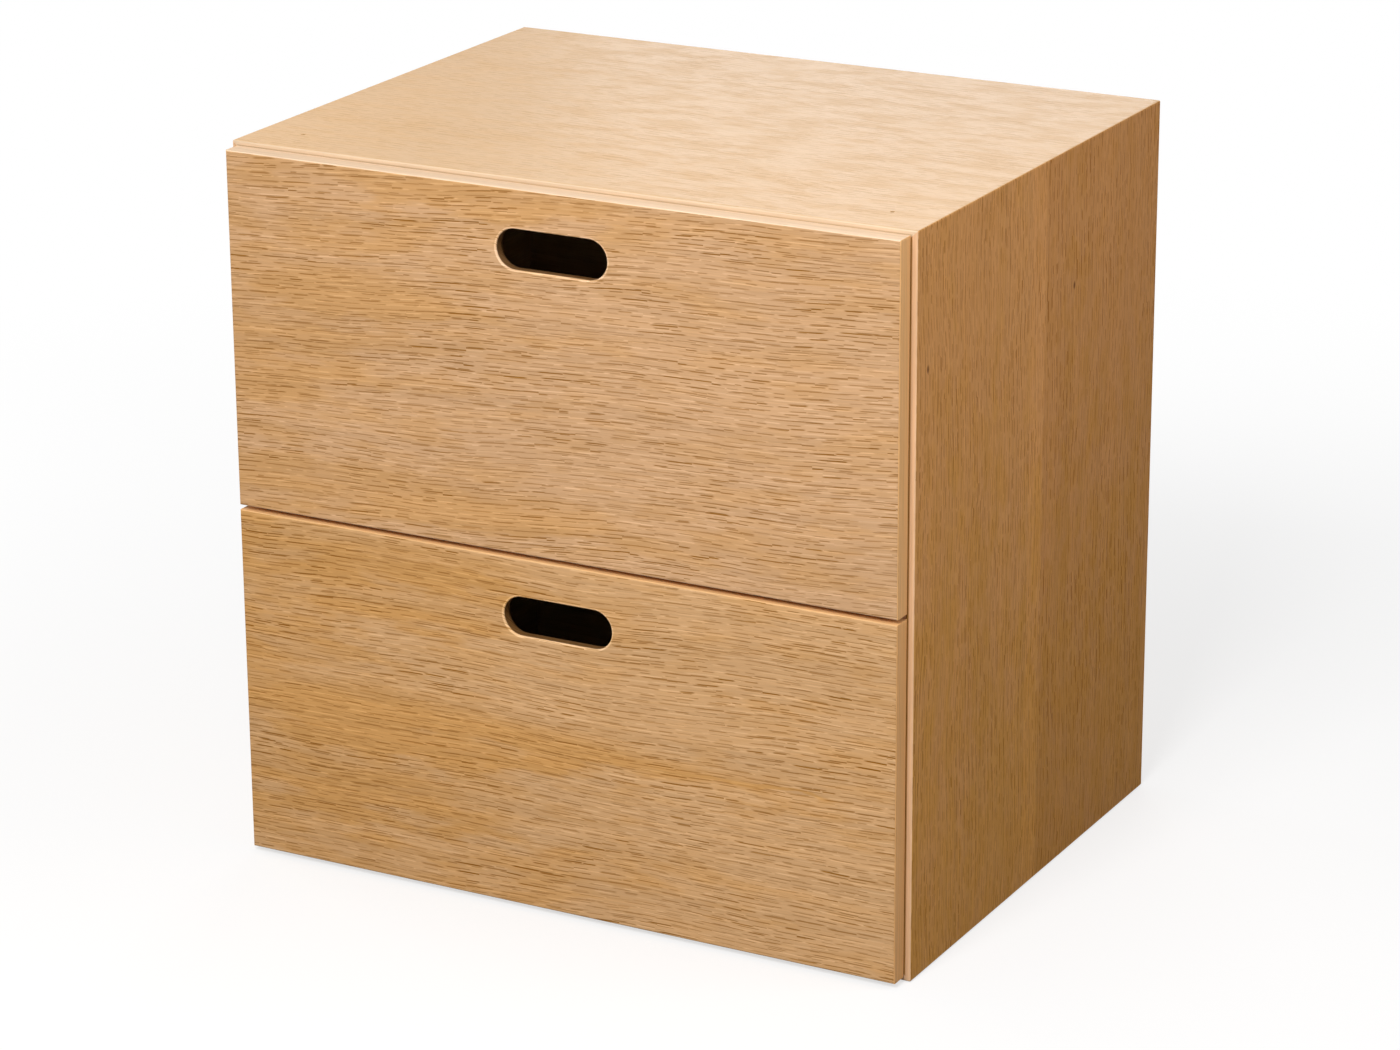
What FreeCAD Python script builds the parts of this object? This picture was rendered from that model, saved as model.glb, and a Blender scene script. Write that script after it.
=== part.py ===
import FreeCAD, Part
import os

Vector = FreeCAD.Vector

# Two-drawer unit in millimetres: +X right, +Y to the back, +Z up.
# The origin is under the middle of the whole unit, on the surface that it stands on.

# Carcass: four boards mitred into a box that is open at the front
carcass_width = 370.0
carcass_depth = 280.0
carcass_height = 370.0
carcass_board = 12.0
carcass_arris = 0.8

# Loose tongues glued across the four mitres, stopped short of both ends
tongue_width = 10.0
tongue_thickness = 3.0
tongue_front_stop = 18.0
tongue_rear_land = 6.0
tongue_place_share = 0.42
mitre_angle = 45

# Back panel, let into a groove that runs round the carcass
back_board = 5.0
back_inset = 10.0
back_groove_depth = 5.0
back_edge_gap = 0.4

# Screw holes near the front corners of the top
top_hole_diameter = 2.4
top_hole_inset = 25.0

# Drawer fronts, which lie over the front edges of the carcass
front_board = 10.0
front_side_reveal = 3.2
front_top_reveal = 2.3
front_bottom_reveal = 2.5
front_gap = 2.5
front_arris = 0.8

# Finger hole in each front, with round ends and a well rounded edge for the fingers at the back
grip_length = 60.0
grip_height = 20.0
grip_drop = 29.5
grip_arris = 0.8
grip_back_round = 6.0

# Bumper discs on the back of each front, which set its distance from the carcass
bumper_thickness = 1.0
bumper_diameter = 6.0
bumper_inset = 14.0

# Drawer boxes
drawer_side_board = 12.0
drawer_side_gap = 1.2
drawer_back_board = 11.0
drawer_back_inset = 6.0
drawer_back_drop = 4.0
drawer_floor_gap = 4.0
drawer_ceiling_gap = 2.8
drawer_rear_gap = 8.0
drawer_edge_round = 1.2

# Plywood drawer bottom, in grooves of the sides and the front
bottom_board = 4.0
bottom_rise = 8.0
bottom_groove_depth = 5.0
bottom_edge_gap = 0.4

# Runners on the carcass sides, which the grooved drawer sides hang on
runner_thickness = 7.0
runner_height = 12.0
runner_front_stop = 6.0
runner_rear_gap = 9.0
runner_nose = 3.0
runner_top_gap = 0.25
runner_under_gap = 0.6
runner_end_gap = 0.6
runner_height_share = 0.5

# Countersunk screws that hold the runners
runner_screw_diameter = 3.2
runner_screw_head = 6.4
runner_screw_bite = 7.5
runner_screw_shares = (0.1, 0.5, 0.9)

# Countersunk screws that hold the drawer bottom to the drawer back
bottom_screw_diameter = 2.6
bottom_screw_head = 5.2
bottom_screw_bite = 12.0
bottom_screw_shares = (-0.72, 0.0, 0.72)

# Straight rim of every screw head, and the clearance round every screw
screw_rim = 0.3
screw_gap = 0.05

# Dowels in the corners of the drawer boxes
dowel_diameter = 6.0
dowel_chamfer = 0.7
dowel_gap = 0.05
dowel_end_gap = 0.5
front_dowel_front_depth = 6.0
front_dowel_side_depth = 16.0
front_dowel_shares = (0.18, 0.66, 0.88)
back_dowel_side_depth = 7.0
back_dowel_back_depth = 16.0
back_dowel_shares = (0.24, 0.84)

# Overrun of every cutting tool, and the distance below which two points are the same
overrun = 2.0
same_place = 0.001

# Places along Y, from the drawer fronts to the rear edge of the carcass
overall_depth = front_board + bumper_thickness + carcass_depth
front_face_y = -overall_depth / 2
front_back_y = front_face_y + front_board
carcass_front_y = front_back_y + bumper_thickness
carcass_rear_y = carcass_front_y + carcass_depth
back_rear_y = carcass_rear_y - back_inset
back_front_y = back_rear_y - back_board
box_rear_y = back_front_y - drawer_rear_gap
drawer_back_rear_y = box_rear_y - drawer_back_inset
drawer_back_front_y = drawer_back_rear_y - drawer_back_board
drawer_back_middle_y = drawer_back_rear_y - drawer_back_board / 2
runner_front_y = carcass_front_y + runner_front_stop
runner_rear_y = back_front_y - runner_rear_gap

# Half widths along X, from the carcass to the inside of the drawers
outer_x = carcass_width / 2
inner_x = outer_x - carcass_board
front_x = outer_x - front_side_reveal
bumper_x = (front_x + inner_x) / 2
box_outer_x = inner_x - drawer_side_gap
box_inner_x = box_outer_x - drawer_side_board
bottom_x = box_inner_x + bottom_groove_depth - bottom_edge_gap
runner_inner_x = inner_x - runner_thickness
runner_groove_x = runner_inner_x - runner_end_gap

# Heights of the carcass
inner_bottom_z = carcass_board
inner_top_z = carcass_height - carcass_board

# Heights of one drawer, counted from the lower edge of its front
drawer_names = ("lower", "upper")
front_stack = carcass_height - front_top_reveal - front_bottom_reveal
front_height = (front_stack - front_gap) / len(drawer_names)
front_pitch = front_height + front_gap
box_foot = carcass_board - front_bottom_reveal + drawer_floor_gap
box_head = front_height - (carcass_board - front_top_reveal) - drawer_ceiling_gap
box_height = box_head - box_foot
bottom_under = box_foot + bottom_rise
bottom_over = bottom_under + bottom_board
drawer_back_head = box_head - drawer_back_drop
runner_middle = box_foot + box_height * runner_height_share
runner_under = runner_middle - runner_height / 2
runner_over = runner_middle + runner_height / 2
grip_middle = front_height - grip_drop


def box(low_x, high_x, low_y, high_y, low_z, high_z):
    """Straight block between two opposite corners."""
    corner = Vector(low_x, low_y, low_z)
    return Part.makeBox(high_x - low_x, high_y - low_y, high_z - low_z, corner)


def between(side, near_x, far_x):
    """Lower and higher X of a span on the left side (-1) or the right side (1)."""
    return sorted((side * near_x, side * far_x))


def rod(diameter, start, end):
    """Round bar from one point to another."""
    run = end - start
    return Part.makeCylinder(diameter / 2, run.Length, start, run)


def edges_where(shape, keep):
    """Edges of a shape whose end points all pass the test."""
    return [edge for edge in shape.Edges if all(keep(vertex.Point) for vertex in edge.Vertexes)]


def edges_along(edges, direction):
    """Those edges that run in one direction."""
    chosen = []
    for edge in edges:
        run = edge.Vertexes[-1].Point - edge.Vertexes[0].Point
        if run.cross(direction).Length < same_place:
            chosen.append(edge)
    return chosen


# Fasteners

def dowel(start, end):
    """Plain wooden dowel with chamfered ends."""
    bar = rod(dowel_diameter, start, end)
    rims = [edge for edge in bar.Edges if edge.Closed]
    return bar.makeChamfer(dowel_chamfer, rims)


def dowel_hole(start, end):
    """Room for a dowel, a little wider and longer than the dowel itself."""
    step = (end - start).normalize() * dowel_end_gap
    return rod(dowel_diameter + 2 * dowel_gap, start - step, end + step)


def screw(place, direction, diameter, head, length, gap=0.0, above=0.0):
    """Countersunk screw, or with a gap the room for one, with its head flush at the place."""
    shank = diameter / 2 + gap
    rim = head / 2 + gap
    cone_end = screw_rim + rim - shank
    tip = length + gap
    outline = [
        Vector(0, 0, -above),
        Vector(rim, 0, -above),
        Vector(rim, 0, screw_rim),
        Vector(shank, 0, cone_end),
        Vector(shank, 0, tip - diameter),
        Vector(0, 0, tip),
    ]
    face = Part.Face(Part.makePolygon(outline + outline[:1]))
    body = face.revolve(Vector(0, 0, 0), Vector(0, 0, 1), 360)
    body.Placement = FreeCAD.Placement(place, FreeCAD.Rotation(Vector(0, 0, 1), direction))
    return body


def runner_screw_places(side, drawer_z):
    """Head places of the screws through one runner."""
    length = runner_rear_y - runner_front_y
    middle_z = drawer_z + runner_middle
    return [
        Vector(side * runner_inner_x, runner_front_y + share * length, middle_z)
        for share in runner_screw_shares
    ]


def runner_screw(place, side, gap=0.0, above=0.0):
    """One screw through a runner into the carcass side."""
    length = runner_thickness + runner_screw_bite
    direction = Vector(side, 0, 0)
    return screw(place, direction, runner_screw_diameter, runner_screw_head, length, gap, above)


def runner_screw_holes(side, drawer_z):
    """Room for the screws of one runner."""
    places = runner_screw_places(side, drawer_z)
    return [runner_screw(place, side, screw_gap, overrun) for place in places]


def bottom_screw_places(drawer_z):
    """Head places of the screws under one drawer bottom."""
    return [
        Vector(share * box_inner_x, drawer_back_middle_y, drawer_z + bottom_under)
        for share in bottom_screw_shares
    ]


def bottom_screw(place, gap=0.0, above=0.0):
    """One screw through a drawer bottom into the drawer back."""
    length = bottom_board + bottom_screw_bite
    up = Vector(0, 0, 1)
    return screw(place, up, bottom_screw_diameter, bottom_screw_head, length, gap, above)


def bottom_screw_holes(drawer_z):
    """Room for the screws under one drawer bottom."""
    return [bottom_screw(place, screw_gap, overrun) for place in bottom_screw_places(drawer_z)]


# Carcass

def carcass_ring():
    """The four carcass boards as one tube with eased outer edges."""
    block = box(-outer_x, outer_x, carcass_front_y, carcass_rear_y, 0, carcass_height)
    block = block.makeFillet(carcass_arris, block.Edges)
    low_y = carcass_front_y - overrun
    high_y = carcass_rear_y + overrun
    return block.cut(box(-inner_x, inner_x, low_y, high_y, inner_bottom_z, inner_top_z))


def mitre_point(side, level, reach):
    """Point on the mitre of one corner, as far out from the inner corner along X as along Z."""
    corner_z = inner_top_z if level > 0 else inner_bottom_z
    return Vector(side * (inner_x + reach), carcass_front_y - overrun, corner_z + level * reach)


def mitre_wedge(first, second):
    """Space of one board between the mitres of two corners."""
    far = carcass_board + overrun
    outline = [
        mitre_point(*first, -overrun),
        mitre_point(*second, -overrun),
        mitre_point(*second, far),
        mitre_point(*first, far),
    ]
    face = Part.Face(Part.makePolygon(outline + outline[:1]))
    return face.extrude(Vector(0, carcass_depth + 2 * overrun, 0))


def mitre_tongue(side, level):
    """Loose tongue set square across the mitre of one corner."""
    length = carcass_depth - back_inset - back_board - tongue_front_stop - tongue_rear_land
    corner = Vector(-tongue_width / 2, 0, -tongue_thickness / 2)
    strip = Part.makeBox(tongue_width, length, tongue_thickness, corner)
    strip.rotate(Vector(0, 0, 0), Vector(0, 1, 0), side * level * mitre_angle)
    strip.translate(mitre_point(side, level, carcass_board * tongue_place_share))
    strip.translate(Vector(0, overrun + tongue_front_stop, 0))
    return strip


def back_plate(edge_gap):
    """Back panel reaching into its groove, short of the groove's floor by the edge gap."""
    reach = back_groove_depth - edge_gap
    low_z = inner_bottom_z - reach
    high_z = inner_top_z + reach
    return box(-inner_x - reach, inner_x + reach, back_front_y, back_rear_y, low_z, high_z)


def top_hole(side):
    """Screw hole through the top near one front corner."""
    place = Vector(side * (outer_x - top_hole_inset), carcass_front_y + top_hole_inset, 0)
    low = place + Vector(0, 0, inner_top_z - overrun)
    high = place + Vector(0, 0, carcass_height + overrun)
    return rod(top_hole_diameter, low, high)


def runner(side, drawer_z):
    """Runner strip with a chamfered nose, drilled for its screws."""
    low_x, high_x = between(side, runner_inner_x, inner_x)
    low_z = drawer_z + runner_under
    high_z = drawer_z + runner_over
    strip = box(low_x, high_x, runner_front_y, runner_rear_y, low_z, high_z)
    front_edges = edges_where(strip, lambda point: point.y < runner_front_y + same_place)
    strip = strip.makeChamfer(runner_nose, edges_along(front_edges, Vector(1, 0, 0)))
    return strip.cut(runner_screw_holes(side, drawer_z))


def carcass_pieces(places):
    """Every piece that stays still."""
    sides = {"left": -1, "right": 1}
    levels = {"bottom": -1, "top": 1}
    tongues = {
        level + "_" + side + "_tongue": mitre_tongue(sides[side], levels[level])
        for level in levels
        for side in sides
    }
    ring = carcass_ring().cut([back_plate(0.0)] + list(tongues.values()))
    top_holes = [top_hole(side) for side in sides.values()]
    pieces = {
        "top_panel": ring.common(mitre_wedge((-1, 1), (1, 1))).cut(top_holes),
        "bottom_panel": ring.common(mitre_wedge((-1, -1), (1, -1))),
        "back_panel": back_plate(back_edge_gap),
    }
    screws = []
    for name, side in sides.items():
        holes = []
        for drawer, drawer_z in places.items():
            pieces[drawer + "_" + name + "_runner"] = runner(side, drawer_z)
            holes += runner_screw_holes(side, drawer_z)
            screws += [runner_screw(place, side) for place in runner_screw_places(side, drawer_z)]
        board = ring.common(mitre_wedge((side, -1), (side, 1)))
        pieces[name + "_side_panel"] = board.cut(holes)
    pieces["runner_screws"] = Part.makeCompound(screws)
    pieces.update(tongues)
    return pieces


# Drawers

def front_dowel_ends(drawer_z):
    """End points of the dowels from one front into both drawer sides."""
    middle_x = (box_outer_x + box_inner_x) / 2
    low_y = front_back_y - front_dowel_front_depth
    high_y = front_back_y + front_dowel_side_depth
    heights = [drawer_z + box_foot + share * box_height for share in front_dowel_shares]
    return [
        (Vector(side * middle_x, low_y, height), Vector(side * middle_x, high_y, height))
        for side in (-1, 1)
        for height in heights
    ]


def back_dowel_ends(drawer_z):
    """End points of the dowels from both drawer sides into the drawer back."""
    far_x = box_inner_x + back_dowel_side_depth
    near_x = box_inner_x - back_dowel_back_depth
    y = drawer_back_middle_y
    heights = [drawer_z + box_foot + share * box_height for share in back_dowel_shares]
    return [
        (Vector(side * near_x, y, height), Vector(side * far_x, y, height))
        for side in (-1, 1)
        for height in heights
    ]


def grip_hole(middle_z):
    """Stadium-shaped prism right through a front."""
    y = front_face_y - overrun
    radius = grip_height / 2
    straight = grip_length / 2 - radius
    high = middle_z + radius
    low = middle_z - radius
    tips = [Vector(side * (straight + radius), y, middle_z) for side in (-1, 1)]
    left_low = Vector(-straight, y, low)
    left_high = Vector(-straight, y, high)
    right_low = Vector(straight, y, low)
    right_high = Vector(straight, y, high)
    outline = [
        Part.LineSegment(left_high, right_high).toShape(),
        Part.Arc(right_high, tips[1], right_low).toShape(),
        Part.LineSegment(right_low, left_low).toShape(),
        Part.Arc(left_low, tips[0], left_high).toShape(),
    ]
    face = Part.Face(Part.Wire(outline))
    return face.extrude(Vector(0, front_board + 2 * overrun, 0))


def grip_rim(front, middle_z, face_y):
    """Edges of the finger hole on one face of a front."""
    reach_x = grip_length / 2 + same_place
    reach_z = grip_height / 2 + same_place
    return edges_where(
        front,
        lambda point: abs(point.x) < reach_x
        and abs(point.y - face_y) < same_place
        and abs(point.z - middle_z) < reach_z,
    )


def drawer_front(drawer_z):
    """Overlay front with eased arrises, a finger hole, a bottom groove and dowel holes."""
    board = box(-front_x, front_x, front_face_y, front_back_y, drawer_z, drawer_z + front_height)
    arrises = edges_where(board, lambda point: point.y < front_face_y + same_place)
    board = board.makeFillet(front_arris, arrises)
    middle_z = drawer_z + grip_middle
    board = board.cut(grip_hole(middle_z))
    board = board.makeFillet(grip_arris, grip_rim(board, middle_z, front_face_y))
    board = board.makeFillet(grip_back_round, grip_rim(board, middle_z, front_back_y))
    holes = [dowel_hole(start, end) for start, end in front_dowel_ends(drawer_z)]
    return board.cut(holes + [bottom_groove(drawer_z)])


def bottom_groove(drawer_z):
    """Grooves for the drawer bottom, as one plate that runs past the rear of the sides."""
    reach_x = box_inner_x + bottom_groove_depth
    low_y = front_back_y - bottom_groove_depth
    high_y = box_rear_y + overrun
    return box(-reach_x, reach_x, low_y, high_y, drawer_z + bottom_under, drawer_z + bottom_over)


def runner_groove(side, drawer_z):
    """Groove in the outer face of a drawer side that takes the runner."""
    low_x, high_x = between(side, runner_groove_x, box_outer_x + overrun)
    low_z = drawer_z + runner_under - runner_under_gap
    high_z = drawer_z + runner_over + runner_top_gap
    low_y = front_back_y - overrun
    return box(low_x, high_x, low_y, box_rear_y + overrun, low_z, high_z)


def drawer_side(side, drawer_z):
    """Drawer side with round top edges, both grooves and its dowel holes."""
    low_x, high_x = between(side, box_inner_x, box_outer_x)
    head_z = drawer_z + box_head
    board = box(low_x, high_x, front_back_y, box_rear_y, drawer_z + box_foot, head_z)
    top_edges = edges_where(board, lambda point: point.z > head_z - same_place)
    board = board.makeFillet(drawer_edge_round, edges_along(top_edges, Vector(0, 1, 0)))
    dowels = front_dowel_ends(drawer_z) + back_dowel_ends(drawer_z)
    tools = [dowel_hole(start, end) for start, end in dowels]
    return board.cut(tools + [runner_groove(side, drawer_z), bottom_groove(drawer_z)])


def drawer_back(drawer_z):
    """Drawer back between the sides, standing on the bottom."""
    head_z = drawer_z + drawer_back_head
    foot_z = drawer_z + bottom_over
    board = box(-box_inner_x, box_inner_x, drawer_back_front_y, drawer_back_rear_y, foot_z, head_z)
    top_edges = edges_where(board, lambda point: point.z > head_z - same_place)
    board = board.makeFillet(drawer_edge_round, edges_along(top_edges, Vector(1, 0, 0)))
    tools = [dowel_hole(start, end) for start, end in back_dowel_ends(drawer_z)]
    return board.cut(tools + bottom_screw_holes(drawer_z))


def drawer_bottom(drawer_z):
    """Thin drawer bottom, slid in from the rear under the back."""
    low_y = front_back_y - bottom_groove_depth + bottom_edge_gap
    low_z = drawer_z + bottom_under
    high_z = drawer_z + bottom_over
    board = box(-bottom_x, bottom_x, low_y, drawer_back_rear_y, low_z, high_z)
    return board.cut(bottom_screw_holes(drawer_z))


def bumpers(drawer_z):
    """Four thin discs on the back of a front, which meet the carcass edges."""
    heights = (drawer_z + bumper_inset, drawer_z + front_height - bumper_inset)
    discs = []
    for side in (-1, 1):
        for height in heights:
            start = Vector(side * bumper_x, front_back_y, height)
            end = Vector(side * bumper_x, carcass_front_y, height)
            discs.append(rod(bumper_diameter, start, end))
    return Part.makeCompound(discs)


def drawer_pieces(drawer, drawer_z):
    """Every piece of one drawer."""
    front_dowels = [dowel(start, end) for start, end in front_dowel_ends(drawer_z)]
    back_dowels = [dowel(start, end) for start, end in back_dowel_ends(drawer_z)]
    screws = [bottom_screw(place) for place in bottom_screw_places(drawer_z)]
    pieces = {
        "front": drawer_front(drawer_z),
        "left_side": drawer_side(-1, drawer_z),
        "right_side": drawer_side(1, drawer_z),
        "back": drawer_back(drawer_z),
        "bottom": drawer_bottom(drawer_z),
        "front_dowels": Part.makeCompound(front_dowels),
        "back_dowels": Part.makeCompound(back_dowels),
        "bottom_screws": Part.makeCompound(screws),
        "bumpers": bumpers(drawer_z),
    }
    return {drawer + "_drawer_" + name: shape for name, shape in pieces.items()}


drawer_places = {
    name: front_bottom_reveal + row * front_pitch for row, name in enumerate(drawer_names)
}
unit = carcass_pieces(drawer_places)
for drawer_name, drawer_foot_z in drawer_places.items():
    unit.update(drawer_pieces(drawer_name, drawer_foot_z))

os.makedirs("parts", exist_ok=True)
for node, shape in unit.items():
    shape.exportStep("parts/" + node + ".step")
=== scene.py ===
import math
from types import SimpleNamespace

import bmesh
import bpy
from mathutils import Euler, Matrix, Vector


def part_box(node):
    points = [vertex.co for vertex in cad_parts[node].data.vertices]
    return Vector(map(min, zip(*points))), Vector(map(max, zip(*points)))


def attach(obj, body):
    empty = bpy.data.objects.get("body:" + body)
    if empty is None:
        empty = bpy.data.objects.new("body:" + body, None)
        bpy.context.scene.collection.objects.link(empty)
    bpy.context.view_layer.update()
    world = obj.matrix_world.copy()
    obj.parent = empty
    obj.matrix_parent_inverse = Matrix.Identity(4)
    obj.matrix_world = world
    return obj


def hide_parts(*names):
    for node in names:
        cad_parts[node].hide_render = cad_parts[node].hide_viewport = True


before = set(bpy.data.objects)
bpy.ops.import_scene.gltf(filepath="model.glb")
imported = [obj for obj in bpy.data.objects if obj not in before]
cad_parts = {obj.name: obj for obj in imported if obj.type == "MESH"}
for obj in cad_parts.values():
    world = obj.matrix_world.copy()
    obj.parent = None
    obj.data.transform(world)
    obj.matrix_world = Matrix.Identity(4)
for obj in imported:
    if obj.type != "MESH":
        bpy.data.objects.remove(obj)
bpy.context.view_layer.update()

# Marks in the wood, in metres: length along the grain, width across it
GROWTH_MARK = (0.34, 0.0068)
FLAME_MARK = (0.24, 0.030)
CLOUD_MARK = (0.042, 0.0095)
FIBRE_MARK = (0.034, 0.00060)
PORE_PATCH_MARK = (0.070, 0.022)
SWAY_MARK = (0.170, 0.090)
SWAY_REACH = 0.0080
WOBBLE_MARK = (0.034, 0.014)
WOBBLE_REACH = 0.0010

# Noise in the marks: octaves and their roughness
PLAIN_NOISE = (1.0, 0.5)
GROWTH_NOISE = (3.0, 0.6)
FLAME_NOISE = (2.0, 0.5)
CLOUD_NOISE = (2.0, 0.55)
FIBRE_NOISE = (2.0, 0.6)
TAPE_NOISE = (3.0, 0.6)
SURFACE_OCTAVES = 3.0

# Noise values between which a mark goes from none to full
NOISE_RANGE = (0.30, 0.70)
FLAME_RANGE = (0.32, 0.68)
FIBRE_RANGE = (0.25, 0.75)

# Open pores and pale flecks lie in rows along the grain, in metres: distance of the rows, room along a
# row for each mark, and half its own length and width
PORE_ROWS = {"pitch": 0.0036, "room": 0.0175, "half": (0.0086, 0.00044)}
FINE_PORE_ROWS = {"pitch": 0.0021, "room": 0.0125, "half": (0.0062, 0.00031)}
FLECK_ROWS = {"pitch": 0.0028, "room": 0.0190, "half": (0.0100, 0.00044)}
ROW_DRIFT_MARK = (0.900, 0.022)
ROW_DRIFT = 0.0040
ROW_START_RANGE = 60.0
ROW_SPREAD_SHARE = 0.30

# Each pore or fleck: its length and depth from the least to the most, and the part of it that is full
DASH_LENGTH_SHARES = (0.50, 1.20)
DASH_DEPTH_SHARES = (0.55, 1.0)
DASH_FULL_LENGTH_SHARE = 0.60
DASH_FULL_WIDTH_SHARE = 0.35
PORE_PATCH_SHARES = (0.60, 1.0)
FINE_PORE_SHARE = 0.85

# Board arrises and the band beside them that hands rub paler, which is partly a painted highlight, in metres
FACE_EDGE = 0.00025
FACE_EDGE_END = 0.00055
RUB_REACH = 0.0016
RUB_MARK = 0.009
RUB_SHARE = 0.5
RUB_PATCH_SHARES = (0.25, 1.0)
TOP_RUB_AND_HIGHLIGHT_SHARE = 0.6

# Straight-grained tape on the edges: its marks in metres, how much darker and paler they are, and how
# much further along the log it begins than its board
TAPE_MARK = (0.060, 0.0011)
TAPE_SHADES = (0.90, 1.06)
TAPE_START = 5.0

# Painted shade in the gaps: a thin darker line on the carcass along the outline of the closed fronts, in
# metres
GAP_SHADE_REACH = 0.0008
TOP_GAP_SHADE_SHARE = 0.40

# How deep pores and fibres lie in the wood's surface, in metres, and how strongly they show there
GRAIN_DEPTH = 0.00020
GRAIN_BUMP = 0.5
FIBRE_RISE_SHARE = 0.4

# Roughness of the woods, polished and dull, and how far pores and clouds dull them
VENEER_ROUGHNESS = (0.42, 0.62)
PLAIN_ROUGHNESS = (0.50, 0.68)
PORE_DULL_SHARE = 0.6
CLOUD_DULL_SHARE = 0.4

# Turns that lay the board's grain along the pattern's own X
GRAIN_TURNS = {"x": (0.0, 0.0, 0.0), "y": (0.0, 0.0, math.pi / 2), "z": (0.0, math.pi / 2, 0.0)}

# Where the figure of each board, and of each drawer's pieces, begins in the log, in metres
LOG_STARTS = {
    "top_panel": 2.3,
    "bottom_panel": 4.1,
    "right_side_panel": 6.7,
    "left_side_panel": 9.2,
    "back_panel": 12.9,
    "upper_drawer": 21.0,
    "lower_drawer": 33.0,
}
CARCASS_BEECH_START = 14.0
CARCASS_BEECH_STEP = 0.7

# What a start is divided by along each of the pattern's axes
LOG_PARTS = (1, 3, 7)

# Oak tones, linear: pinkish tan, golden tan, the edge tape and the tape on the ends of a front
# The top's oak is paler than the fronts': painted light
TOP_LIT_TONES = {"tan": (0.760, 0.478, 0.238), "gold": (0.730, 0.436, 0.189), "tape": (0.750, 0.555, 0.370)}
# The right side's oak is browner than the fronts': painted shade, which the bottom shares
SIDE_SHADED_TONES = {"tan": (0.612, 0.289, 0.093), "gold": (0.572, 0.268, 0.055), "tape": (0.760, 0.470, 0.265)}
LEFT_SIDE_TONES = {"tan": (0.600, 0.318, 0.130), "gold": (0.565, 0.288, 0.088), "tape": (0.760, 0.470, 0.265)}
# The upper front's top-edge tape is paler: painted light from above
UPPER_TONES = {"tan": (0.655, 0.390, 0.205), "gold": (0.630, 0.345, 0.140), "tape": (0.920, 0.660, 0.440),
               "end": (0.850, 0.470, 0.190)}
# The lower front's top-edge tape is darker: painted shade under the upper front
LOWER_TONES = {"tan": (0.665, 0.390, 0.185), "gold": (0.635, 0.330, 0.110), "tape": (0.790, 0.470, 0.210),
               "end": (0.810, 0.430, 0.165)}
BACK_TONES = {"tan": (0.600, 0.350, 0.165), "gold": (0.570, 0.310, 0.120)}

# Tints that marks, wear, painted shade, painted highlights and the second leaf of veneer lay over the wood
PORE_TINT = (0.42, 0.28, 0.04)
FLECK_TINT = (1.24, 1.31, 1.42)
# Bare core inside cut-outs and recesses: a little darker than the veneer, and darkened further as painted
# shade
CORE_SHADE_TINT = (0.32, 0.27, 0.20)
# Painted highlight on the finger hole's eased rim
GRIP_HIGHLIGHT_TINT = (1.45, 1.60, 1.85)
# Rubbed pale by hands, and also a painted highlight on the arrises
RUB_AND_HIGHLIGHT_TINT = (1.22, 1.32, 1.45)
SOIL_TINT = (0.76, 0.75, 0.75)
# Painted shade in the gaps beside the closed fronts
GAP_SHADE_TINT = (0.54, 0.41, 0.17)
REAR_LEAF_TINT = (0.90, 0.87, 0.82)
SEAM_TINT = (1.06, 1.05, 1.05)
SPECK_TINT = (0.32, 0.24, 0.16)

# How strongly each surface shows its figure
FRONT_LOOK = {"cloud": 0.42, "flame": 0.30, "pores": 1.00, "flecks": 0.90, "contrast": 0.060,
              "specular": 0.10, "fineness": (1.0, 1.0)}
TOP_LOOK = {"cloud": 0.14, "flame": 0.12, "pores": 0.34, "flecks": 0.16, "contrast": 0.008,
            "specular": 0.38, "fineness": (1.5, 1.0)}
SIDE_LOOK = {"cloud": 0.30, "flame": 0.30, "pores": 0.75, "flecks": 0.45, "contrast": 0.035,
             "specular": 0.03, "fineness": (1.50, 0.80)}
BACK_LOOK = {"cloud": 0.35, "flame": 0.35, "pores": 0.50, "flecks": 0.20, "contrast": 0.050,
             "specular": 0.20, "fineness": (1.0, 1.0)}
PLAIN_LOOK = {"cloud": 0.35, "flame": 0.45, "pores": 0.20, "flecks": 0.12, "contrast": 0.050,
              "specular": 0.25, "fineness": (1.3, 1.3)}

# Marks add up to golden wood between these sums, and pores thin out where it is golden
GOLDEN_RANGE = (0.10, 1.00)
THINNED_RANGE = (0.3, 1.2)
THINNED_SHARE = 0.60

# Growth lines are less pale than dark
GROWTH_PALE_SHARE = 0.6

# How steeply the grain of each front rises to the right, and how golden it is at the left and the right
UPPER_SLOPE = math.radians(3.4)
UPPER_LEAN = (0.22, -0.10)
LOWER_SLOPE = math.radians(1.2)
LOWER_LEAN = (0.20, -0.15)

# How far clouds and flames draw the bands off line, in metres, and the part of a band that is full
BAND_CLOUD_DRIFT = 0.006
BAND_FLAME_DRIFT = 0.008
BAND_FULL_SHARE = 0.15

# Golden and pale bands: place from the upper left corner of a front, or the front left corner of the top,
# half length and half width, in metres, and strength
UPPER_GOLD = (
    (0.150, 0.008, 0.140, 0.018, 0.55),
    (0.072, 0.062, 0.080, 0.013, 0.55),
    (0.040, 0.100, 0.060, 0.030, 0.25),
    (0.135, 0.163, 0.130, 0.018, 0.35),
    (0.310, 0.165, 0.090, 0.014, 0.25),
)
UPPER_PALE = (
    (0.140, 0.150, 0.240, 0.036, 0.05),
    (0.300, 0.085, 0.130, 0.040, 0.03),
)
LOWER_GOLD = (
    (0.110, 0.014, 0.120, 0.012, 0.50),
    (0.105, 0.043, 0.110, 0.013, 0.45),
    (0.090, 0.097, 0.170, 0.020, 0.55),
    (0.235, 0.099, 0.140, 0.016, 0.55),
    (0.285, 0.095, 0.062, 0.0028, 1.10),
    (0.075, 0.140, 0.130, 0.022, 0.50),
)
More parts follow.
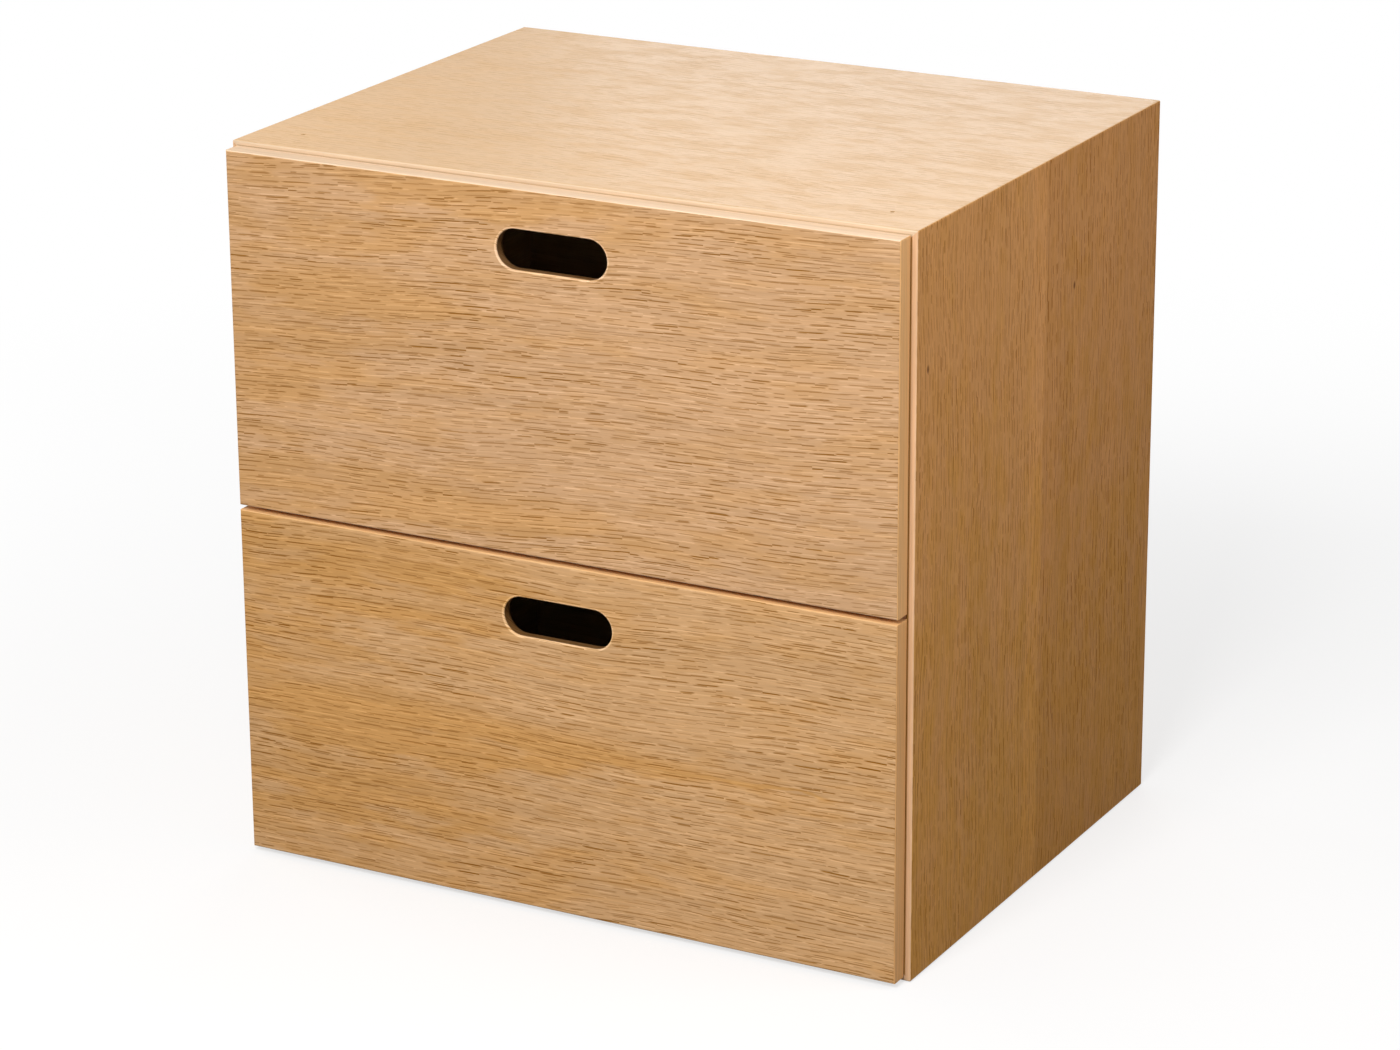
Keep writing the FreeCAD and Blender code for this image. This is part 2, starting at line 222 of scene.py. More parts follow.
LOWER_PALE = (
    (0.070, 0.080, 0.220, 0.044, 0.05),
    (0.300, 0.120, 0.110, 0.040, 0.04),
)
TOP_GOLD = (
    (0.060, 0.200, 0.110, 0.022, 0.45),
    (0.080, 0.060, 0.160, 0.030, 0.40),
    (0.260, 0.050, 0.150, 0.030, 0.30),
)
# The top's pale bands are painted light, paler towards its left
TOP_PAINTED_LIGHT = (
    (0.000, 0.140, 0.360, 0.320, 0.075),
    (0.000, 0.150, 0.100, 0.500, 0.080),
)

# Finger hole in each front, in metres: size, distance of its middle from the top edge, and how far the
# painted highlight reaches on its eased rim
GRIP_LENGTH = 0.060
GRIP_HEIGHT = 0.020
GRIP_DROP = 0.0295
GRIP_HIGHLIGHT_REACH = 0.0012

# The sides are laid from two leaves of veneer with dark specks, painted more golden towards the foot as shade
# and paler
# at the front edge as light: places from the front edge and from the top, in metres
LEAF_SEAM = 0.143
LEAF_BLUR = 0.0015
SEAM_BAND = (0.127, 0.142)
SIDE_FOOT_SHADE = (0.58, -0.15)
SIDE_FRONT_LIGHT_REACH = 0.085
SIDE_FRONT_LIGHT = 0.075
SPECKS = ((0.012, 0.068), (0.177, 0.070))
SPECK_HALF = (0.0017, 0.0026)
SPECK_STRENGTH = 0.9
SPECK_FULL_SHARE = 0.3

# Tones of the woods inside, linear
DRAWER_TONES = {"tan": (0.740, 0.590, 0.410), "gold": (0.700, 0.530, 0.330)}
BEECH_TONES = {"tan": (0.640, 0.420, 0.260), "gold": (0.600, 0.380, 0.220)}
PLY_TONES = {"tan": (0.700, 0.540, 0.370), "gold": (0.660, 0.490, 0.310)}
PLY_CORE = (0.430, 0.290, 0.170)
PLY_LAYERS = 3
PLY_LINE_RANGE = (0.35, 0.65)

# Plain pieces inside. For each drawer: name, way of the grain, tones, and how much further along the log
# it begins, in metres
CARCASS_BEECH = (
    "top_left_tongue", "top_right_tongue", "bottom_left_tongue", "bottom_right_tongue",
    "upper_left_runner", "upper_right_runner", "lower_left_runner", "lower_right_runner",
)
DRAWER_WOODS = (
    ("left_side", "y", DRAWER_TONES, 1.1),
    ("right_side", "y", DRAWER_TONES, 2.3),
    ("back", "x", DRAWER_TONES, 3.1),
    ("front_dowels", "y", BEECH_TONES, 5.3),
    ("back_dowels", "x", BEECH_TONES, 6.1),
)
DRAWER_BOTTOM_START = 4.7

# Countersunk screws, in metres, and where they stand along a runner
RUNNER_SCREW = {"head": 0.0064, "shank": 0.0032}
RUNNER_SCREW_SHARES = (0.1, 0.5, 0.9)
BOTTOM_SCREW = {"head": 0.0052, "shank": 0.0026}
SCREW_RIM = 0.0003
SCREW_ROUND = 0.0001
SCREW_ROUND_STEPS = 2
SCREW_WELD = 0.000002
SCREW_SIDES = 32
SCREW_CORE_SHARE = 0.70
SCREW_NECK_SHARE = 0.12
THREAD_PITCH_SHARE = 0.42
THREAD_ROOT_SHARE = 0.88
THREAD_STEPS = 19
RIDGE_SIDES = 3
RIDGE_HEIGHT_RADII = 1.5
RECESS_ARM_SHARE = 0.27
RECESS_WIDTH_SHARE = 0.085
RECESS_DEPTH_SHARE = 0.30
RECESS_TAPER = 0.55

# Soft bumper discs, in metres
BUMPER_DIAMETER = 0.006
BUMPER_SIDES = 40
BUMPER_ROUND_SHARE = 0.42
BUMPER_ROUND_STEPS = 4

# What counts as the same place, as facing up and as one smooth face, on screws and bumpers
NEAR_SHARE = 0.1
FACING_UP = 0.9
SMOOTH_ANGLE = math.radians(35)

# Zinc and soft rubber: tones, linear, the size of their clouds in metres, and how they take the light
ZINC = {"tones": ((0.560, 0.560, 0.540), (0.700, 0.690, 0.650)), "mark": 0.0012,
        "specular": 0.5, "metallic": 1.0, "roughness": (0.28, 0.42)}
RUBBER = {"tones": ((0.500, 0.500, 0.480), (0.580, 0.580, 0.560)), "mark": 0.0016,
          "specular": 0.4, "metallic": 0.0, "roughness": (0.38, 0.55)}
CLOUD_BUMP = 0.2
CLOUD_DEPTH_SHARE = 0.1

# Camera and the photograph's frame
PHOTO_WIDTH = 1400
FOCAL_PIXELS = 4502
SENSOR_WIDTH = 36.0
CAMERA_PLACE = (1.0302, -1.9020, 0.9035)
CAMERA_AZIMUTH = math.radians(28.449)
CAMERA_ELEVATION = math.radians(18.970)
CAMERA_ROLL = math.radians(-0.351)

# Studio: a white floor that fades out of the shadow, soft lamps, an even room
FLOOR_SIZE = 60.0
FLOOR_DROP = 0.0004
FLOOR_BOUNCE = 0.26
FLOOR_SHOWN = 0.34
SHADOW_FADE = (0.35, 1.10)
LAMPS = {
    "key_lamp": {"place": (0.24, -1.25, 1.20), "aim": (0.0, -0.10, 0.20), "size": 0.6, "power": 21.0},
    "side_lamp": {"place": (0.62, 0.02, 0.47), "aim": (0.15, -0.03, 0.34), "size": 0.3, "power": 0.80},
    "rear_lamp": {"place": (-0.30, 1.00, 0.50), "aim": (0.0, 0.05, 0.36), "size": 0.62, "power": 2.55},
    "fill_lamp": {"place": (-1.20, 0.12, 0.30), "aim": (-0.18, 0.0, 0.20), "size": 0.5, "power": 3.6},
}
ROOM_LIGHT = 0.30

SOCKET_KINDS = {"value": "NodeSocketFloat", "vector": "NodeSocketVector"}


# Node helpers

def add_node(tree, kind, inputs=(), **settings):
    """A new node with its settings made and its inputs filled with values or links."""
    node = tree.nodes.new(kind)
    for setting, value in settings.items():
        setattr(node, setting, value)
    for place, value in dict(inputs).items():
        if isinstance(value, bpy.types.NodeSocket):
            tree.links.new(value, node.inputs[place])
        else:
            node.inputs[place].default_value = value
    return node


def maths(tree, operation, first, second=0.0):
    return add_node(tree, "ShaderNodeMath", {0: first, 1: second}, operation=operation).outputs[0]


def vector_maths(tree, operation, first, second):
    return add_node(tree, "ShaderNodeVectorMath", {0: first, 1: second}, operation=operation).outputs[0]


def vector_length(tree, vector):
    return add_node(tree, "ShaderNodeVectorMath", {0: vector}, operation="LENGTH").outputs["Value"]


def axes(tree, vector):
    """The vector's three coordinates."""
    return add_node(tree, "ShaderNodeSeparateXYZ", {0: vector}).outputs[:3]


def joined(tree, **coordinates):
    """A vector with these coordinates, and 0 for the rest."""
    return add_node(tree, "ShaderNodeCombineXYZ", coordinates).outputs[0]


def spread(tree, value, low, high, start=0.0, end=1.0):
    """The value from low to high, eased, as start to end."""
    inputs = {"Value": value, "From Min": low, "From Max": high, "To Min": start, "To Max": end}
    return add_node(tree, "ShaderNodeMapRange", inputs, interpolation_type="SMOOTHSTEP").outputs[0]


def blended(tree, share, first, second, blend_type="MIX"):
    """Two colours mixed. Inputs 6 and 7 and output 2 are the node's colour sockets."""
    inputs = {0: share, 6: first, 7: second}
    return add_node(tree, "ShaderNodeMix", inputs, data_type="RGBA", blend_type=blend_type).outputs[2]


def grey(tree, value):
    return add_node(tree, "ShaderNodeCombineColor", {0: value, 1: value, 2: value}).outputs[0]


def solid(rgb):
    return (*rgb, 1.0)


def tinted(tree, share, colour, tint):
    """The colour with a tint laid over it where the share is 1."""
    return blended(tree, share, colour, blended(tree, 1.0, colour, solid(tint), "MULTIPLY"))


def drawn_out(tree, place, mark):
    """Coordinates in which a mark of this length along the grain and width across it measures one."""
    length, width = mark
    return vector_maths(tree, "MULTIPLY", place, (1 / length, 1 / width, 0.0))


def marks(tree, place, mark, noise):
    """Noise drawn out along the grain."""
    octaves, roughness = noise
    along_grain = drawn_out(tree, place, mark)
    inputs = {"Vector": along_grain, "Scale": 1.0, "Detail": octaves, "Roughness": roughness}
    return add_node(tree, "ShaderNodeTexNoise", inputs, noise_dimensions="2D").outputs[0]


def even_clouds(tree, place, size):
    """Noise that is alike in all directions."""
    inputs = {"Vector": place, "Scale": 1 / size, "Detail": SURFACE_OCTAVES}
    return add_node(tree, "ShaderNodeTexNoise", inputs).outputs[0]


def dashes(tree, along, across, rows, strength):
    """Dashes in rows along the grain, each of its own length and depth: 1 in the middle, 0 outside."""
    half_length, half_width = rows["half"]
    row = maths(tree, "DIVIDE", across, rows["pitch"])
    number = maths(tree, "FLOOR", row)
    aside = maths(tree, "SUBTRACT", maths(tree, "SUBTRACT", row, number), 0.5)
    row_chance = add_node(tree, "ShaderNodeTexWhiteNoise", {"W": number}, noise_dimensions="1D")
    start = maths(tree, "MULTIPLY", row_chance.outputs["Value"], ROW_START_RANGE)
    place = maths(tree, "ADD", maths(tree, "DIVIDE", along, rows["room"]), start)
    inputs = {"W": place, "Scale": 1.0}
    cells = add_node(tree, "ShaderNodeTexVoronoi", inputs, voronoi_dimensions="1D").outputs
    chance = add_node(tree, "ShaderNodeSeparateColor", {0: cells["Color"]}).outputs
    jitter = spread(tree, chance[2], 0.0, 1.0, -ROW_SPREAD_SHARE / 2, ROW_SPREAD_SHARE / 2)
    own_length = spread(tree, chance[0], 0.0, 1.0, *DASH_LENGTH_SHARES)
    own_depth = spread(tree, chance[1], 0.0, 1.0, *DASH_DEPTH_SHARES)
    ahead = maths(tree, "MULTIPLY", maths(tree, "SUBTRACT", place, cells["W"]), rows["room"] / half_length)
    ahead = maths(tree, "DIVIDE", ahead, own_length)
    beside = maths(tree, "MULTIPLY", maths(tree, "ADD", aside, jitter), rows["pitch"] / half_width)
    lengthwise = spread(tree, maths(tree, "ABSOLUTE", ahead), DASH_FULL_LENGTH_SHARE, 1.0, 1.0, 0.0)
    crosswise = spread(tree, maths(tree, "ABSOLUTE", beside), DASH_FULL_WIDTH_SHARE, 1.0, 1.0, 0.0)
    dash = maths(tree, "MULTIPLY", lengthwise, crosswise)
    return maths(tree, "MULTIPLY", dash, maths(tree, "MULTIPLY", own_depth, strength))


def new_group(name, inputs, outputs):
    """An empty shader group, with its tree, its inputs and its outputs."""
    tree = bpy.data.node_groups.new(name, "ShaderNodeTree")
    for socket, kind in inputs.items():
        tree.interface.new_socket(socket, in_out="INPUT", socket_type=SOCKET_KINDS[kind])
    for socket in outputs:
        tree.interface.new_socket(socket, in_out="OUTPUT", socket_type=SOCKET_KINDS["value"])
    source = tree.nodes.new("NodeGroupInput").outputs
    result = tree.nodes.new("NodeGroupOutput").inputs
    return tree, source, result


def give_out(tree, result, made):
    """The group's outputs filled with what was made for them."""
    for output, value in made.items():
        tree.links.new(value, result[output])


# Effects that the woods share

def wood_figure_group():
    """Wood seen along its grain, from 0 to 1: growth lines, flames, clouds, pores, pale flecks and fibres."""
    outputs = ("Growth", "Flame", "Cloud", "Pores", "Flecks", "Fibres")
    tree, source, result = new_group("wood_figure", {"Place": "vector"}, outputs)
    x, y, z = axes(tree, source["Place"])
    across = maths(tree, "ADD", y, z)
    place = joined(tree, X=x, Y=across)
    for mark, reach in ((SWAY_MARK, SWAY_REACH), (WOBBLE_MARK, WOBBLE_REACH)):
        swing = maths(tree, "SUBTRACT", marks(tree, place, mark, PLAIN_NOISE), 0.5)
        across = maths(tree, "ADD", across, maths(tree, "MULTIPLY", swing, reach))
    place = joined(tree, X=x, Y=across)

    patch_marks = marks(tree, place, PORE_PATCH_MARK, PLAIN_NOISE)
    patch = spread(tree, patch_marks, *NOISE_RANGE, *PORE_PATCH_SHARES)
    fine_patch = maths(tree, "MULTIPLY", patch, FINE_PORE_SHARE)
    row_drift = maths(tree, "MULTIPLY", marks(tree, place, ROW_DRIFT_MARK, PLAIN_NOISE), ROW_DRIFT)
    in_rows = maths(tree, "ADD", across, row_drift)
    pores = dashes(tree, x, in_rows, PORE_ROWS, patch)
    fine_pores = dashes(tree, x, in_rows, FINE_PORE_ROWS, fine_patch)
    made = {
        "Growth": spread(tree, marks(tree, place, GROWTH_MARK, GROWTH_NOISE), *NOISE_RANGE),
        "Flame": spread(tree, marks(tree, place, FLAME_MARK, FLAME_NOISE), *FLAME_RANGE),
        "Cloud": spread(tree, marks(tree, place, CLOUD_MARK, CLOUD_NOISE), *NOISE_RANGE),
        "Pores": maths(tree, "MAXIMUM", pores, fine_pores),
        "Flecks": dashes(tree, x, in_rows, FLECK_ROWS, 1.0),
        "Fibres": marks(tree, place, FIBRE_MARK, FIBRE_NOISE),
    }
    give_out(tree, result, made)
    return tree


def board_faces_group():
    """Which of a board's faces a point lies on, what lies inside them, and the edges, rubbed pale with a
    painted highlight in part and soiled elsewhere, from 0 to 1.
    """
    inputs = {"Place": "vector", "Low": "vector", "High": "vector"}
    outputs = ("Face X", "Face Y", "Face Z", "Core", "Edge")
    tree, source, result = new_group("board_faces", inputs, outputs)
    from_low = vector_maths(tree, "SUBTRACT", source["Place"], source["Low"])
    from_high = vector_maths(tree, "SUBTRACT", source["High"], source["Place"])
    nearest = vector_maths(tree, "MINIMUM", from_low, from_high)
    x, y, z = axes(tree, nearest)

    face_x, face_y, face_z = [spread(tree, axis, FACE_EDGE, FACE_EDGE_END, 1.0, 0.0) for axis in (x, y, z)]
    any_face = maths(tree, "MAXIMUM", maths(tree, "MAXIMUM", face_x, face_y), face_z)
    core = maths(tree, "SUBTRACT", 1.0, any_face)

    smaller = maths(tree, "MINIMUM", x, y)
    larger = maths(tree, "MAXIMUM", x, y)
    to_edge = maths(tree, "MAXIMUM", smaller, maths(tree, "MINIMUM", larger, z))
    rub = spread(tree, even_clouds(tree, source["Place"], RUB_MARK), *NOISE_RANGE, *RUB_PATCH_SHARES)
    edge = maths(tree, "MULTIPLY", spread(tree, to_edge, 0.0, RUB_REACH, 1.0, 0.0), rub)

    made = {"Face X": face_x, "Face Y": face_y, "Face Z": face_z, "Core": core, "Edge": edge}
    give_out(tree, result, made)
    return tree


wood_figure = wood_figure_group()
board_faces = board_faces_group()


# Wood finishes

def new_finish(name, specular):
    """An empty material with its tree, its shader's sockets and the piece's own coordinates."""
    material = bpy.data.materials.new(name)
    material.use_nodes = True
    tree = material.node_tree
    sockets = tree.nodes["Principled BSDF"].inputs
    sockets["Specular IOR Level"].default_value = specular
    place = tree.nodes.new("ShaderNodeTexCoord").outputs["Object"]
    return material, tree, sockets, place


def laid_along(tree, place, grain, start, fineness, slope=0.0):
    """The place with the grain along X, begun at its start in the log and sloped to the board's edge."""
    along, across = fineness
    turn_x, turn_y, turn_z = GRAIN_TURNS[grain]
    inputs = {
        "Vector": place,
        "Location": [start / part for part in LOG_PARTS],
        "Rotation": (turn_x, turn_y + slope, turn_z),
        "Scale": [along if axis == grain else across for axis in "xyz"],
    }
    return add_node(tree, "ShaderNodeMapping", inputs).outputs[0]


def begin_board(node, finish, grain, start, look, slope=0.0):
    """A new finish for one board, with its faces and its figure."""
    material, tree, sockets, place = new_finish(node + "_" + finish, look["specular"])
    low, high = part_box(node)
    inputs = {"Place": place, "Low": low, "High": high}
    faces = add_node(tree, "ShaderNodeGroup", inputs, node_tree=board_faces).outputs
    turned = laid_along(tree, place, grain, start, look["fineness"], slope)
    figure = add_node(tree, "ShaderNodeGroup", {"Place": turned}, node_tree=wood_figure).outputs
    return SimpleNamespace(
        node=node,
        start=start,
        look=look,
        low=low,
        high=high,
        material=material,
        tree=tree,
        sockets=sockets,
        place=place,
        faces=faces,
        figure=figure,
    )


def swayed_place(board):
    """The board's own coordinates, drawn a little off line with the figure."""
    tree = board.tree
    figure = board.figure
    cloud_drift = maths(tree, "MULTIPLY", figure["Cloud"], BAND_CLOUD_DRIFT)
    flame_drift = maths(tree, "MULTIPLY", figure["Flame"], BAND_FLAME_DRIFT)
    drift = maths(tree, "ADD", cloud_drift, flame_drift)
    drift = maths(tree, "SUBTRACT", drift, (BAND_CLOUD_DRIFT + BAND_FLAME_DRIFT) / 2)
    return vector_maths(tree, "ADD", board.place, joined(tree, Y=drift, Z=drift))


def placed_bands(board, corner, along, across, bands):
    """Soft bands laid from a corner of the board, added up."""
    tree = board.tree
    place = swayed_place(board)
    total = 0.0
    for right, down, half_length, half_width, strength in bands:
        middle = corner + along * right + across * down
        offset = vector_maths(tree, "SUBTRACT", place, middle)
        shares = Vector(abs(value) for value in along / half_length + across / half_width)
        away = vector_length(tree, vector_maths(tree, "MULTIPLY", offset, shares))
        total = maths(tree, "ADD", total, spread(tree, away, BAND_FULL_SHARE, 1.0, strength, 0.0))
    return total


def figure_colour(board, tones, gold=0.0, light=0.0):
    """Tan and golden wood with growth lines, fibres, pale flecks and brown pores."""
    tree = board.tree
    figure = board.figure
    look = board.look
    cloud = maths(tree, "MULTIPLY", figure["Cloud"], look["cloud"])
    flame = maths(tree, "MULTIPLY", figure["Flame"], look["flame"])
    hue = maths(tree, "ADD", maths(tree, "ADD", cloud, flame), gold)
    colour = blended(tree, spread(tree, hue, *GOLDEN_RANGE), solid(tones["tan"]), solid(tones["gold"]))
    contrast = look["contrast"]
    lines = spread(tree, figure["Growth"], 0.0, 1.0, 1.0 - contrast, 1.0 + contrast * GROWTH_PALE_SHARE)
    fibre = spread(tree, figure["Fibres"], *FIBRE_RANGE, 1.0 - contrast, 1.0 + contrast)
    shade = maths(tree, "MULTIPLY", maths(tree, "MULTIPLY", lines, fibre), maths(tree, "ADD", 1.0, light))
    colour = blended(tree, 1.0, colour, grey(tree, shade), "MULTIPLY")
    flecks = maths(tree, "MULTIPLY", figure["Flecks"], look["flecks"])
    colour = tinted(tree, flecks, colour, FLECK_TINT)
    thinned = spread(tree, gold, *THINNED_RANGE, 1.0, THINNED_SHARE)
    pores = maths(tree, "MULTIPLY", maths(tree, "MULTIPLY", figure["Pores"], look["pores"]), thinned)
    return tinted(tree, pores, colour, PORE_TINT)


def set_surface(board, roughness, grained=1.0):
    """Pores sunk below the fibres where the grain shows, and duller than the wood between them."""
    tree = board.tree
    figure = board.figure
    pores = maths(tree, "MULTIPLY", figure["Pores"], PORE_DULL_SHARE)
    clouds = maths(tree, "MULTIPLY", figure["Cloud"], CLOUD_DULL_SHARE)
    dullness = maths(tree, "ADD", pores, clouds)
    tree.links.new(spread(tree, dullness, 0.0, 1.0, *roughness), board.sockets["Roughness"])
    raised = maths(tree, "MULTIPLY", figure["Fibres"], FIBRE_RISE_SHARE)
    sunk = maths(tree, "MULTIPLY", figure["Pores"], board.look["pores"])
    height = maths(tree, "MULTIPLY", maths(tree, "SUBTRACT", raised, sunk), grained)
    inputs = {"Strength": GRAIN_BUMP, "Distance": GRAIN_DEPTH, "Height": height}
    bump = add_node(tree, "ShaderNodeBump", inputs)
    tree.links.new(bump.outputs[0], board.sockets["Normal"])


def dress(board, colour):
    """The board's node shows the finished material alone."""
    board.tree.links.new(colour, board.sockets["Base Color"])
    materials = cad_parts[board.node].data.materials
    materials.clear()
    materials.append(board.material)


def edge_tape(board, tape_grain, tone):
    """Thin tape of straight-grained oak."""
    tree = board.tree
    turned = laid_along(tree, board.place, tape_grain, board.start + TAPE_START, (1.0, 1.0))
    x, y, z = axes(tree, turned)
    lines = marks(tree, joined(tree, X=x, Y=maths(tree, "ADD", y, z)), TAPE_MARK, TAPE_NOISE)
    shade = spread(tree, lines, *FIBRE_RANGE, *TAPE_SHADES)
    return blended(tree, 1.0, solid(tone), grey(tree, shade), "MULTIPLY")


def lay_veneer(board, tapes, colour, rim=0.0, handled_and_lit=1.0, gap_shade=0.0):
    """Veneer on the faces, tape on the edges, bare core in cut-outs darkened as painted shade, a painted
    highlight on the finger hole's rim, and arrises rubbed pale, partly as a painted highlight, where handled
    and soiled elsewhere.
    """
    tree = board.tree
    faces = board.faces
    veneer = colour
    veneered = 1.0
    for face, (grain, tone) in tapes.items():
        colour = blended(tree, faces[face], colour, edge_tape(board, grain, tone))
        veneered = maths(tree, "MINIMUM", veneered, maths(tree, "SUBTRACT", 1.0, faces[face]))
    # A thin darker line along the closed fronts' outline: painted shade in the gap
    colour = tinted(tree, gap_shade, colour, GAP_SHADE_TINT)
    # Bare core inside cut-outs and recesses, darkened further as painted shade
    colour = tinted(tree, faces["Core"], colour, CORE_SHADE_TINT)
    # A highlight painted on the finger hole's eased rim
    colour = blended(tree, rim, colour, blended(tree, 1.0, veneer, solid(GRIP_HIGHLIGHT_TINT), "MULTIPLY"))
    worn = maths(tree, "MULTIPLY", faces["Edge"], RUB_SHARE)
    rubbed_and_highlit = maths(tree, "MULTIPLY", worn, handled_and_lit)
    # Arrises rubbed pale, which is also a painted highlight
    colour = tinted(tree, rubbed_and_highlit, colour, RUB_AND_HIGHLIGHT_TINT)
    colour = tinted(tree, maths(tree, "SUBTRACT", worn, rubbed_and_highlit), colour, SOIL_TINT)
    set_surface(board, VENEER_ROUGHNESS, veneered)
    dress(board, colour)


def grip_highlight_band(board):
    """1 on the eased front edge of the finger hole, where a highlight is painted, 0 elsewhere."""
    tree = board.tree
    radius = GRIP_HEIGHT / 2
    middle = Vector((0, 0, board.high.z - GRIP_DROP))
    offset = vector_maths(tree, "SUBTRACT", board.place, middle)
    x, y, z = axes(tree, offset)
    straight = GRIP_LENGTH / 2 - radius
    beyond = maths(tree, "MAXIMUM", maths(tree, "SUBTRACT", maths(tree, "ABSOLUTE", x), straight), 0.0)
    from_axis = vector_length(tree, joined(tree, X=beyond, Z=z))
    near = spread(tree, from_axis, radius + GRIP_HIGHLIGHT_REACH / 2, radius + GRIP_HIGHLIGHT_REACH, 1.0, 0.0)
    in_front = spread(tree, y, board.low.y + GRIP_HIGHLIGHT_REACH / 2, board.low.y + GRIP_HIGHLIGHT_REACH, 1.0, 0.0)
    return maths(tree, "MULTIPLY", near, in_front)


def upper_edge(board):
    """1 along the upper edge of a front, which hands reach and where a highlight is painted, 0 below it."""
    z = axes(board.tree, board.place)[2]
    return spread(board.tree, z, board.high.z - 2 * RUB_REACH, board.high.z - RUB_REACH)


def finish_front(drawer, tones, gold_bands, pale_bands, lean, slope):
    """A drawer front: more golden at the left, with its own bands."""
    board = begin_board(drawer + "_front", "veneer", "x", LOG_STARTS[drawer], FRONT_LOOK, slope)
    corner = Vector((board.low.x, board.low.y, board.high.z))
    right = Vector((1, 0, 0))
    down = Vector((0, 0, -1))
    x = axes(board.tree, board.place)[0]
    leaning = spread(board.tree, x, board.low.x, board.high.x, *lean)
    gold = maths(board.tree, "ADD", placed_bands(board, corner, right, down, gold_bands), leaning)
    light = placed_bands(board, corner, right, down, pale_bands)
    colour = figure_colour(board, tones, gold, light)
    tapes = {"Face Z": ("x", tones["tape"]), "Face X": ("z", tones["end"])}
    lay_veneer(board, tapes, colour, grip_highlight_band(board), upper_edge(board))


def gap_shade_line(board):
    """1 on a front edge of the carcass along the outline of the closed fronts, where the gap's shade is
    painted, 0 elsewhere.
    """
    tree = board.tree
    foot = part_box("lower_drawer_front")[0].z
    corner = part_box("upper_drawer_front")[1]
    x, _, z = axes(tree, board.place)
    beside = maths(tree, "SUBTRACT", maths(tree, "ABSOLUTE", x), corner.x)
    above = maths(tree, "SUBTRACT", z, corner.z)
    below = maths(tree, "SUBTRACT", foot, z)
    outside = maths(tree, "MAXIMUM", beside, maths(tree, "MAXIMUM", above, below))
    near_outline = spread(tree, outside, -2 * GAP_SHADE_REACH, -GAP_SHADE_REACH)
    thinned = spread(tree, outside, 0.0, GAP_SHADE_REACH, 1.0, 0.0)
    line = maths(tree, "MULTIPLY", near_outline, thinned)
    return maths(tree, "MULTIPLY", line, board.faces["Face Y"])


def finish_top():
    """The top: bands along its grain, the pale ones painted light, and a little painted shade along the
    fronts.
    """
    board = begin_board("top_panel", "veneer", "x", LOG_STARTS["top_panel"], TOP_LOOK)
    corner = Vector((board.low.x, board.low.y, board.high.z))
    right = Vector((1, 0, 0))
    backwards = Vector((0, 1, 0))
    gold = placed_bands(board, corner, right, backwards, TOP_GOLD)
    # Painted light on the top
    light = placed_bands(board, corner, right, backwards, TOP_PAINTED_LIGHT)
    colour = figure_colour(board, TOP_LIT_TONES, gold, light)
    # Painted shade along the fronts, fainter on the top
    gap_shade = maths(board.tree, "MULTIPLY", gap_shade_line(board), TOP_GAP_SHADE_SHARE)
    tapes = {"Face Y": ("x", TOP_LIT_TONES["tape"])}
    lay_veneer(board, tapes, colour, handled_and_lit=TOP_RUB_AND_HIGHLIGHT_SHARE, gap_shade=gap_shade)


def finish_side(node, tones):
    """A carcass side: two leaves of veneer that meet in an upright seam, painted more golden towards the foot
    as shade and paler at the front edge as light.
    """
    board = begin_board(node, "veneer", "z", LOG_STARTS[node], SIDE_LOOK)
    tree = board.tree
    _, y, z = axes(tree, board.place)
    # Painted shade: more golden and darker towards the foot
    gold = spread(tree, z, board.low.z, board.high.z, *SIDE_FOOT_SHADE)
    inward = maths(tree, "SUBTRACT", y, board.low.y)
    # Painted light: paler towards the front edge
    light = spread(tree, inward, 0.0, SIDE_FRONT_LIGHT_REACH, SIDE_FRONT_LIGHT, 0.0)
    colour = figure_colour(board, tones, gold, light)
    rear_leaf = spread(tree, inward, LEAF_SEAM - LEAF_BLUR, LEAF_SEAM + LEAF_BLUR)
    colour = tinted(tree, rear_leaf, colour, REAR_LEAF_TINT)
    band_start, band_end = SEAM_BAND
    before = spread(tree, inward, band_start - LEAF_BLUR, band_start + LEAF_BLUR)
    after = spread(tree, inward, band_end, band_end + LEAF_BLUR, 1.0, 0.0)
    colour = tinted(tree, maths(tree, "MULTIPLY", before, after), colour, SEAM_TINT)
    half_width, half_height = SPECK_HALF
    for behind, down in SPECKS:
        middle = Vector((0, board.low.y + behind, board.high.z - down))
        offset = vector_maths(tree, "SUBTRACT", board.place, middle)
        shares = (0.0, 1 / half_width, 1 / half_height)
        away = vector_length(tree, vector_maths(tree, "MULTIPLY", offset, shares))
        speck = spread(tree, away, SPECK_FULL_SHARE, 1.0, SPECK_STRENGTH, 0.0)
        colour = tinted(tree, speck, colour, SPECK_TINT)
    # Painted shade on the front edge along the closed fronts' outline
    lay_veneer(board, {"Face Y": ("z", tones["tape"])}, colour, gap_shade=gap_shade_line(board))


def finish_panel(node, grain, tones, tapes):
    """A veneered panel with no bands of its own."""
    board = begin_board(node, "veneer", grain, LOG_STARTS[node], BACK_LOOK)
    lay_veneer(board, tapes, figure_colour(board, tones))


def finish_plain(node, grain, tones, start):
    """A piece of one plain wood right through."""
    board = begin_board(node, "wood", grain, start, PLAIN_LOOK)
    set_surface(board, PLAIN_ROUGHNESS)
    dress(board, figure_colour(board, tones))


